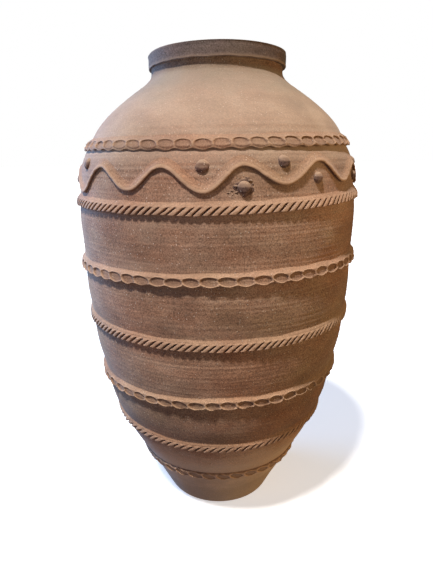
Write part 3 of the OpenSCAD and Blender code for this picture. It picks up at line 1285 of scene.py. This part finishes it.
@dataclass(frozen=True)
class RopeBand:
    """A band cut slantwise by a blade, so that it looks like the lay of a rope.

    Strand holds the shares of the way from one cut to the next where the grid has a column.
    Crown and dome are how far a strand falls off towards its cuts and towards the band's edges,
    and notch is how far a cut bites into the lower edge.
    """

    form: JarForm
    lay: BandLay
    proud: float = 7.6 * MM
    depth: float = 6.2 * MM
    slant: float = math.radians(40)
    groove_share: float = 0.22
    crown: float = 1.0 * MM
    dome: float = 1.3 * MM
    notch: float = 1.2 * MM
    top: float = 12.2 * MM
    limit: float = 7.9 * MM
    strand: tuple[float, ...] = (0.0, 0.05, 0.10, 0.15, 0.22, 0.34, 0.48, 0.61, 0.73, 0.81, 0.88, 0.945)

    def surface(self) -> Surface:
        """The whole band.

        Columns follow the cuts: a point at height w over a line 1 mm under the band's middle is
        moved along the seam by w / tan(slant). Across a strand, q runs from 0 to 1 between two
        cuts, and d is the way to the nearer cut. The face sinks by
        depth x (1 - d / groove_share)^1.15 in a cut, by crown x (2q - 1)^2 between cuts, and by
        dome x (w / 7 mm)^2 above and below. Cuts fade out towards the band's edges.

        Returns:
            A ring that closes on itself in both directions.
        """
        lay, form = self.lay, self.form
        rng = np.random.default_rng(lay.seed + 9)
        cuts = lay.mark_angles(0.09)
        gaps = apart(np.roll(cuts, -1), cuts)
        q = np.array(self.strand)[None, :]
        base = (cuts[:, None] + q * gaps[:, None]).reshape(1, -1)
        share = np.tile(q, (lay.marks, 1)).reshape(1, -1)
        own = np.arange(lay.marks).repeat(len(self.strand))[None, :]
        section = band_section(ROPE_SIDE, self.proud, self.top)
        across = section[:, 0][:, None] + 0 * base
        out = section[:, 1][:, None] + 0 * base
        shown = section_part(len(section), 0, len(section) - BACK_ROWS)
        reach = form.seam_radii[lay.seam] + self.proud
        held = np.clip(across, -9 * MM, 7 * MM) + 1 * MM
        angle = base + held / math.tan(self.slant) / reach

        near = np.minimum(share, 1 - share)
        depth = (self.depth * rng.uniform(0.75, 1.2, lay.marks))[own]
        next_depth = np.roll(depth, -len(self.strand), axis=1)
        depth = np.where(share > 0.5, next_depth, depth)
        groove = np.clip(1 - near / self.groove_share, 0, 1) ** 1.15
        fade = smooth(5.4 * MM, 1.5 * MM, across) * (0.45 + 0.55 * smooth(-8 * MM, -4 * MM, across))
        dome = self.dome * ((across + 1 * MM) / (7 * MM)) ** 2
        on_face = smooth(-7.4 * MM, -6.0 * MM, across) * smooth(9 * MM, 4.5 * MM, across)
        hump = (2 * share - 1) ** 2
        sunk = groove * fade * depth + self.crown * hump * fade + dome * on_face
        lift = (rng.uniform(-0.5, 0.4, lay.marks) * MM)[own] * on_face * np.sin(math.pi * share)
        pressed = np.where(out > 0.3 * MM, np.maximum(out - sunk + lift, 0.3 * MM), out)
        out = np.where(shown > 0, pressed, out)
        edge = smooth(-1.5 * MM, -6.4 * MM, across)
        tip = (1 - hump) ** 0.7
        hand = Unevenness(lay.seed + 3, 0.5 * MM, (4, 50), (0.0, 1.0), 16).at(angle, 0 * angle)
        across = across + (self.notch * (0.55 - tip) + hand) * edge * shown
        upper = Unevenness(lay.seed + 4, 0.8 * MM, (3, 30), (0.0, 1.0), 12).at(angle, 0 * angle)
        across = across + upper * smooth(5 * MM, 12 * MM, across) * shown
        # Painted shade in the cuts and painted highlights on the strands' crowns.
        light_shade_marks = -groove * fade + 0.6 * smooth(0.16, 0.3, near) * on_face * (1 - groove)
        z = lay.middle(form, angle) + across
        radius = form.wall(angle, z) + out
        radius = np.minimum(radius, form.seam_radii[lay.seam] + self.limit)
        return Surface(form.place(angle, radius, z), painted_light_shade=light_shade_marks * shown)

    def build(self, finish: bpy.types.Material) -> None:
        """Lays the band."""
        mesh = self.surface().mesh(f"{self.lay.node}_clay")
        lay_piece(mesh, finish, [self.lay.node])


@dataclass(frozen=True)
class WaveStrip:
    """The strip of clay laid in waves round the frieze.

    Each front turning holds its number, its direction in degrees and its height in millimetres.
    The section holds distances across the strip and stand-outs in millimetres, of a strip that
    stands out by section_proud.
    """

    form: JarForm
    waves: int = 13
    first_crest: float = 9.0
    middle: float = 695 * MM
    rise: float = 18 * MM
    samples: int = 56
    proud: float = 5.0 * MM
    section_proud: float = 8.1 * MM
    front_turnings: tuple[tuple[int, float, float], ...] = (
        (-6, -77.5, 707.0),
        (-5, -60.1, 669.7),
        (-4, -45.0, 711.6),
        (-3, -30.7, 677.2),
        (-2, -18.1, 711.0),
        (-1, -4.1, 674.4),
        (0, 8.6, 712.3),
        (1, 22.9, 683.8),
        (2, 37.9, 716.8),
        (3, 52.0, 683.9),
        (4, 65.5, 712.0),
    )
    section: tuple[tuple[float, float], ...] = (
        (-3.2, -0.8),
        (-3.8, 0.8),
        (-4.2, 2.4),
        (-4.4, 4.2),
        (-4.2, 6.0),
        (-3.5, 7.3),
        (-2.4, 8.1),
        (-1.0, 8.0),
        (0.6, 7.3),
        (2.0, 6.2),
        (3.2, 5.0),
        (4.2, 3.8),
        (5.1, 2.8),
        (6.1, 1.9),
        (7.3, 1.2),
        (8.7, 0.6),
        (10.3, 0.1),
        (12.0, -0.5),
        (9.0, -2.2),
        (3.0, -2.4),
        (-1.6, -2.2),
    )

    @cached_property
    def turnings(self) -> tuple[np.ndarray, np.ndarray]:
        """Directions and heights of the crests and troughs, in order from the front.

        Even waves with a seeded jitter, but for those at the front, which are given one by one.

        Returns:
            Directions in radians and heights in metres, one of each for each turning.
        """
        rng = np.random.default_rng(41)
        count = 2 * self.waves
        k = np.arange(count)
        angle = math.radians(self.first_crest) + k * FULL_TURN / count
        angle = angle + math.radians(1.0) * rng.uniform(-1, 1, count)
        side = np.where(k % 2 == 0, 1.0, -1.0)
        height = self.middle + side * (self.rise - 1.0 * MM) + rng.uniform(-3, 3, count) * MM
        for number, degrees, z in self.front_turnings:
            angle[number % count] = math.radians(degrees) + FULL_TURN * (number < 0)
            height[number % count] = z * MM
        return angle, height

    def path(self, angle: np.ndarray) -> np.ndarray:
        """Height of the strip's middle at a direction: half a cosine from turning to turning."""
        stops, heights = self.turnings
        turned = (angle - stops[0]) % FULL_TURN + stops[0]
        k = np.clip(np.searchsorted(stops, turned, side="right") - 1, 0, len(stops) - 1)
        after = np.append(stops, stops[0] + FULL_TURN)
        levels = np.append(heights, heights[0])
        t = (turned - after[k]) / (after[k + 1] - after[k])
        return levels[k] + (levels[k + 1] - levels[k]) * (1 - np.cos(math.pi * t)) / 2

    def surface(self) -> Surface:
        """The whole strip.

        The section is carried along the wave in the plane across it: its first number is the
        distance along the wall at right angles to the wave, and its second the stand-out.

        Returns:
            A ring that closes on itself in both directions.
        """
        form = self.form
        columns = self.waves * self.samples
        angle = np.arange(columns)[None, :] * FULL_TURN / columns
        reach = float(form.line(np.array(self.middle)))
        near = 0.002
        slope = (self.path(angle + near) - self.path(angle - near)) / (2 * near * reach)
        tilt = np.arctan(slope)
        section = np.array(self.section) * MM
        width = 1 + Unevenness(43, 0.07, (3, 60), (0.0, 1.0), 20).at(angle, 0 * angle)
        tall = 1 + Unevenness(44, 0.06, (3, 50), (0.0, 1.0), 20).at(angle, 0 * angle)
        across = section[:, 0][:, None] * width
        out = section[:, 1][:, None] * tall * self.proud / self.section_proud
        place = angle - across * np.sin(tilt) / reach
        z = self.path(angle) + across * np.cos(tilt)
        lumps = Unevenness(45, 0.25 * MM, (20, 90), (5.0, 60.0), 18).at(angle, z)
        radius = form.wall(place, z) + out + lumps * smooth(1 * MM, 5 * MM, out)
        # Painted highlight along the crest and painted shade along the undercut lower side.
        light_shade_marks = smooth(3.2 * MM, 4.5 * MM, out) * smooth(3 * MM, 0.5 * MM, across)
        light_shade_marks = light_shade_marks - 0.9 * smooth(-3.2 * MM, -4.2 * MM, across) * (out > 0)
        return Surface(form.place(place, radius, z), painted_light_shade=light_shade_marks)

    def build(self, finish: bpy.types.Material) -> None:
        """Lays the strip."""
        lay_piece(self.surface().mesh("wave_strip_clay"), finish, ["wave_strip"])


@dataclass(frozen=True)
class BossLay:
    """How one boss differs from its even place and size.

    Turn is in degrees, lift and width are in millimetres, and share is its stand-out beside
    that of a boss of the same width.
    """

    turn: float = 0.0
    lift: float = 0.0
    width: float = 19.0
    scraps: bool = False
    share: float = 1.0


@dataclass(frozen=True)
class Bosses:
    """The clay pellets pressed on above and below the wave.

    A boss as wide as full_width stands out by proud. Each scrap of clay round the roughest boss
    holds its place to the right and above it, its half width and half height, and its
    stand-out, all in millimetres.
    """

    form: JarForm
    rows: int = 14
    columns: int = 48
    proud: float = 7.2 * MM
    full_width: float = 20.0
    lays: tuple[tuple[str, BossLay], ...] = (
        ("upper_boss_1", BossLay(0.0, 0.1, 20.6, share=0.72)),
        ("upper_boss_2", BossLay(0.2, 0.6, 19.6, share=0.8)),
        ("upper_boss_12", BossLay(0.1, 0.2, 20.2, share=0.8)),
        ("lower_boss_1", BossLay(-0.1, -0.2, 20.6, True)),
        ("lower_boss_2", BossLay(0.0, 0.1, 18.4)),
        ("lower_boss_3", BossLay(0.1, -0.1, 18.0)),
        ("lower_boss_11", BossLay(0.5, 0.4, 19.0)),
    )
    scraps: tuple[tuple[float, float, float, float, float], ...] = (
        (0.5, 0.5, 14.5, 13.0, 1.1),
        (8.8, 9.8, 3.2, 1.6, 2.4),
        (-12.0, 2.0, 3.0, 2.3, 2.2),
        (-11.0, -6.5, 2.4, 1.3, 1.5),
        (-18.0, -4.0, 2.3, 1.0, 1.0),
        (-16.5, -9.5, 1.6, 1.0, 1.0),
        (-23.0, -7.5, 1.9, 0.9, 0.9),
        (3.5, 14.0, 1.6, 1.0, 0.9),
        (13.0, 4.5, 1.4, 1.9, 1.0),
    )

    def pellet(
        self, angle: float, z: float, half: tuple[float, float], tall: float, seed: int, ragged: float
    ) -> Surface:
        """A lump of clay on the wall.

        Rows run from the buried back over the foot to the top. A point a share t of the way in
        from the foot stands out by tall x (1 - (1 - t)^2.3)^0.62, and the outline's radius
        changes by a seeded sum of cosines of the direction round the lump.

        Args:
            angle: Direction of its middle round the jar.
            z: Height of its middle.
            half: Half its width and half its height.
            tall: How far it stands out.
            seed: Seed of its unevenness.
            ragged: How uneven its outline is, as a share of its size.

        Returns:
            A lump that closes at two poles.
        """
        form = self.form
        turn = np.arange(self.columns)[None, :] * FULL_TURN / self.columns
        rng = np.random.default_rng(seed)
        outline = np.ones(turn.shape)
        for waves in (2, 3, 4, 5, 7, 9):
            size = ragged * rng.uniform(0.3, 1.0) / math.sqrt(waves)
            outline = outline + size * np.cos(waves * turn + rng.uniform(0, FULL_TURN))
        t = np.linspace(0, 1, self.rows + 1)[:-1][:, None]
        grow = np.concatenate([[[0.5], [0.94]], 1 - t])
        top = tall * np.clip(1 - (1 - t) ** 2.3, 0, 1) ** 0.62
        out = np.concatenate([[[-2.0 * MM], [-1.6 * MM]], np.where(t > 0, top, -0.6 * MM)])
        drift = rng.uniform(-0.12, 0.12, 2)
        lean = out / max(tall, 1e-6) * (out > 0)
        reach = float(form.line(np.array(z)))
        along = grow * outline * half[0] * np.cos(turn) + lean * drift[0] * half[0]
        up = grow * outline * half[1] * np.sin(turn) + lean * drift[1] * half[1]
        place = angle + along / reach
        height = z + up
        lumps = Unevenness(seed + 1, ragged * 0.12 * tall, (30, 160), (10.0, 120.0), 14)
        radius = form.wall(place, height) + out + lumps.at(place, height) * (out > 0.2 * MM)
        back = form.place(np.array(angle), form.wall(angle, z) - 2.2 * MM, np.array(z))
        peak_angle = angle + drift[0] * half[0] / reach
        peak_z = z + drift[1] * half[1]
        peak_radius = form.wall(peak_angle, peak_z) + tall
        peak = form.place(np.array(peak_angle), peak_radius, np.array(peak_z))
        return Surface(form.place(place, radius, height), shut=False, poles=(back, peak))

    def build(self, finish: bpy.types.Material) -> None:
        """Lays every boss that is left, with the scraps of clay round the roughest one.

        Args:
            finish: The bosses' clay.
        """
        lays = dict(self.lays)
        names = sorted(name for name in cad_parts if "_boss_" in name)
        for number, name in enumerate(names):
            low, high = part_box(name)
            centre = (low + high) / 2
            rng = np.random.default_rng(500 + number)
            spare = BossLay(rng.uniform(-1.5, 1.5), rng.uniform(-3, 3), rng.uniform(17, 20))
            lay = lays.get(name, spare)
            angle = math.atan2(centre.x, -centre.y) + math.radians(lay.turn)
            z = centre.z + lay.lift * MM
            half = lay.width / 2 * MM
            tall = self.proud * lay.share * lay.width / self.full_width
            shapes = [self.pellet(angle, z, (half, half * 0.97), tall, 600 + number, 0.035)]
            if lay.scraps:
                reach = float(self.form.line(np.array(z)))
                for k, (x, y, wide, high_half, proud) in enumerate(self.scraps):
                    spot = angle + x * MM / reach
                    size = (wide * MM, high_half * MM)
                    shapes.append(self.pellet(spot, z + y * MM, size, proud * MM, 700 + k, 0.22))
            lay_piece(join(shapes, f"{name}_clay"), finish, [name])


@dataclass(frozen=True)
class Lamp:
    """A square soft light that faces the middle of the jar."""

    name: str
    place: Place
    side: float
    watts: float
    tint: Colour
    aim: Place = (0.0, 0.0, 0.5)

    def hang(self) -> None:
        """Hangs the lamp in the scene, unseen by the camera."""
        light = bpy.data.lights.new(self.name, "AREA")
        light.size = self.side
        light.energy = self.watts
        light.color = self.tint
        stand = bpy.data.objects.new(self.name, light)
        bpy.context.scene.collection.objects.link(stand)
        away = Vector(self.place) - Vector(self.aim)
        stand.location = self.place
        stand.rotation_mode = "QUATERNION"
        stand.rotation_quaternion = away.to_track_quat("Z", "Y")
        stand.visible_camera = False


@dataclass(frozen=True)
class Studio:
    """The floor, the lights, the sky and the camera.

    The camera's angles are in degrees. The sky's colours are its light from below and above,
    and the tints that its left and right sides give it.
    """

    camera_place: Place = (0.0, -0.91505, 0.71879)
    camera_down: float = 16.29
    camera_turn: float = -1.52
    camera_roll: float = 0.85
    lens: float = 27.69
    shift: float = 0.0187
    key_from: Place = (-0.25, -0.38, 0.95)
    key_strength: float = 3.95
    key_spread: float = math.radians(6)
    key_tint: Colour = (1.0, 0.965, 0.93)
    lamps: tuple[Lamp, ...] = (
        Lamp("edge_light", (-2.5, 1.2, 1.1), 1.2, 84.0, (0.22, 0.50, 1.0)),
        Lamp("low_fill", (-1.35, -1.15, 0.22), 0.8, 4.5, (1.0, 0.90, 0.80)),
        Lamp("warm_fill", (2.6, -0.9, 0.9), 1.6, 27.0, (1.0, 0.72, 0.37)),
    )
    from_below: Colour = (0.225, 0.175, 0.13)
    from_above: Colour = (0.09, 0.098, 0.122)
    from_left: Colour = (0.66, 1.05, 2.35)
    from_right: Colour = (1.6, 1.12, 0.47)
    floor_radii: tuple[float, ...] = (60.0, 30.0, 9.0, 3.0, 1.0, 0.3)
    floor_columns: int = 64
    floor_height: float = -0.5 * MM

    def camera(self) -> None:
        """Sets the camera up at the front, looking a little down, with a slight roll."""
        down = math.radians(self.camera_down)
        turn = math.radians(self.camera_turn)
        roll = math.radians(self.camera_roll)
        right = Vector((math.cos(turn), -math.sin(turn), 0))
        ahead = Vector((math.sin(turn), math.cos(turn), 0))
        up = Vector((0, 0, 1))
        look = ahead * math.cos(down) - up * math.sin(down)
        rise = ahead * math.sin(down) + up * math.cos(down)
        side = right * math.cos(roll) - rise * math.sin(roll)
        top = right * math.sin(roll) + rise * math.cos(roll)
        lens = bpy.data.cameras.new("camera")
        lens.lens = self.lens
        lens.shift_x = self.shift
        lens.clip_start = 0.02
        lens.clip_end = 200
        stand = bpy.data.objects.new("camera", lens)
        bpy.context.scene.collection.objects.link(stand)
        axes = Matrix((side, top, -look)).transposed()
        stand.matrix_world = Matrix.Translation(self.camera_place) @ axes.to_4x4()
        bpy.context.scene.camera = stand

    def floor(self) -> None:
        """Lays a wide pale floor, a disc just under the jar that reflects nothing onto it."""
        columns = self.floor_columns
        radius = np.array(self.floor_radii)[:, None]
        angle = np.arange(columns)[None, :] * FULL_TURN / columns
        x, y = radius * np.sin(angle), -radius * np.cos(angle)
        points = np.stack([x, y, 0 * x + self.floor_height], axis=-1)
        middle = radius.size * columns
        inmost = np.arange(middle - columns, middle)
        fan = np.stack([inmost, np.roll(inmost, -1), np.full(columns, middle)], axis=-1)
        faces = Surface(points, shut=False).faces() + fan.tolist()
        mesh = bpy.data.meshes.new("studio_floor")
        spots = [*points.reshape(-1, 3).tolist(), [0.0, 0.0, self.floor_height]]
        mesh.from_pydata(spots, [], faces)
        mesh.update()
        mesh.materials.append(self.floor_paint())
        floor = bpy.data.objects.new("studio_floor", mesh)
        bpy.context.scene.collection.objects.link(floor)
        floor.visible_diffuse = False
        floor.visible_glossy = False

    def floor_paint(self) -> bpy.types.Material:
        """A white that glows a little, faintly clouded."""
        paint = bpy.data.materials.new("studio_white")
        paint.use_nodes = True
        kit = SkinNodes(paint.node_tree)
        shader = paint.node_tree.nodes["Principled BSDF"]
        place = kit.add("ShaderNodeTexCoord").outputs["Object"]
        cloud = kit.noise(place, 3.0, 2.0, 0.5)
        kit.link(kit.ramp(cloud, ((0.0, grey(0.86)), (1.0, grey(0.9)))), shader.inputs["Base Color"])
        shader.inputs["Roughness"].default_value = 0.9
        shader.inputs["Emission Color"].default_value = (1.0, 1.0, 1.0, 1.0)
        shader.inputs["Emission Strength"].default_value = 0.5
        return paint

    def lights(self) -> None:
        """Lights the jar: a high key from the left, and the lamps at its sides."""
        sun = bpy.data.lights.new("key_light", "SUN")
        sun.energy = self.key_strength
        sun.angle = self.key_spread
        sun.color = self.key_tint
        key = bpy.data.objects.new("key_light", sun)
        bpy.context.scene.collection.objects.link(key)
        key.rotation_mode = "QUATERNION"
        key.rotation_quaternion = Vector(self.key_from).to_track_quat("Z", "Y")
        for lamp in self.lamps:
            lamp.hang()

    def sky(self) -> None:
        """Makes the sky: plain white where it is seen, and soft coloured light elsewhere.

        The light is cool from the left, warm from the right, dim from above and stronger from
        below, as from a pale floor in front of the jar.
        """
        world = bpy.data.worlds.new("studio_sky")
        world.use_nodes = True
        world.node_tree.nodes.clear()
        kit = SkinNodes(world.node_tree)
        facing = kit.split(kit.add("ShaderNodeTexCoord").outputs["Generated"])
        level = kit.sum("MULTIPLY_ADD", facing["Z"], 0.5)
        side = kit.sum("MULTIPLY_ADD", facing["X"], 0.5)
        rise = kit.ramp(level, ((0.35, self.from_below), (0.60, self.from_above)))
        tint = kit.ramp(side, ((0.1, self.from_left), (0.5, grey(1.0)), (0.9, self.from_right)))
        seen = kit.add("ShaderNodeBackground")
        kit.link(grey(1.0), seen.inputs["Color"])
        lit = kit.add("ShaderNodeBackground")
        kit.link(kit.blend("MULTIPLY", 1.0, rise, tint), lit.inputs["Color"])
        ray = kit.add("ShaderNodeLightPath")
        mix = kit.add("ShaderNodeMixShader")
        out = kit.add("ShaderNodeOutputWorld")
        kit.link(ray.outputs["Is Camera Ray"], mix.inputs[0])
        kit.link(lit.outputs[0], mix.inputs[1])
        kit.link(seen.outputs[0], mix.inputs[2])
        kit.link(mix.outputs[0], out.inputs["Surface"])
        bpy.context.scene.world = world

    def build(self) -> None:
        """Sets up everything that isn't the jar."""
        self.camera()
        self.floor()
        self.lights()
        self.sky()
        bpy.context.scene.view_settings.view_transform = "Standard"


# Its dust colour on what faces up is dust and also painted light on the shoulder.
WALL_SKIN = ClaySkin(
    "wall_clay_skin",
    deep=(0.200, 0.104, 0.062),
    middle=(0.290, 0.160, 0.098),
    pale=(0.392, 0.246, 0.166),
)
# Its dust colour on the bands' upper slopes is dust and also painted light there.
BAND_SKIN = ClaySkin(
    "band_clay_skin",
    deep=(0.205, 0.106, 0.064),
    middle=(0.298, 0.165, 0.102),
    pale=(0.395, 0.246, 0.165),
    lines=0.15,
    top_dust_and_light=0.42,
    dust_and_highlight=(0.54, 0.345, 0.218),
)
# Much darker than the wall, with the dust colour over whatever faces even a little upwards: the pale
# tops are painted light.
BOSS_SKIN = ClaySkin(
    "boss_clay_skin",
    deep=(0.082, 0.044, 0.034),
    middle=(0.118, 0.064, 0.049),
    pale=(0.180, 0.104, 0.078),
    lines=0.1,
    top_dust_and_light=1.0,
    facing_up_range=(0.14, 0.78),
    dust_and_highlight=(0.52, 0.345, 0.225),
)
RIM_SKIN = ClaySkin(
    "rim_clay_skin",
    deep=(0.076, 0.053, 0.047),
    middle=(0.115, 0.082, 0.074),
    pale=(0.175, 0.128, 0.112),
    lines=0.9,
    top_dust_and_light=0.25,
    height_tint_and_shade=0.0,
    grit=0.2,
    dust_and_highlight=(0.40, 0.28, 0.20),
)

# Each thumbed band's lay and what differs from the usual sizes of such a band.
THUMBED = (
    (
        BandLay("thumbed_band_1", 0, 39, 3.0, 0.0, 2.0, 1.5, 101),
        {
            "depth": 2.2 * MM,
            "proud": 6.6 * MM,
            "top": 9.0 * MM,
            "lean": -0.34,
            "lip": 0.8 * MM,
            "scallop": 3.4 * MM,
            "smear": 0.25,
            # The crease also paints shade over the whole of this lowest band.
            "crease": 1.0,
        },
    ),
    (
        BandLay("thumbed_band_2", 2, 55, 4.4, -4.2, 6.0, 3.8, 102),
        {"scallop": 1.6 * MM, "middle": -1.8 * MM, "top": 11.0 * MM, "overlap": 0.50},
    ),
    (BandLay("thumbed_band_3", 4, 61, 3.6, -2.2, 5.1, 1.1, 103), {}),
    (BandLay("thumbed_band_4", 6, 56, 1.9, 1.6, 1.7, -2.9, 104), {}),
)
ROPES = (
    BandLay("rope_band_1", 1, 96, 1.4, 1.9, 5.1, -5.1, 111),
    BandLay("rope_band_2", 3, 130, 0.9, -0.7, 1.6, -1.1, 112),
    BandLay("rope_band_3", 5, 130, -0.3, 1.7, 4.3, -3.4, 113),
)


def main() -> None:
    """Builds the jar from the foot up, then the studio round it."""
    logging.basicConfig(level=logging.INFO, format="%(message)s")
    form = JarForm()
    skins = (WALL_SKIN, BAND_SKIN, RIM_SKIN, BOSS_SKIN)
    wall, band, rim, boss = (skin.material() for skin in skins)
    BaseSlab(form).build(wall)
    WallCourses(form).build(wall)
    NeckAndRim(form).build(wall, rim)
    for lay, sizes in THUMBED:
        ThumbedBand(form, lay, **sizes).build(band)
    for lay in ROPES:
        RopeBand(form, lay).build(band)
    WaveStrip(form).build(band)
    Bosses(form).build(boss)
    Studio().build()


if __name__ == "__main__":
    main()
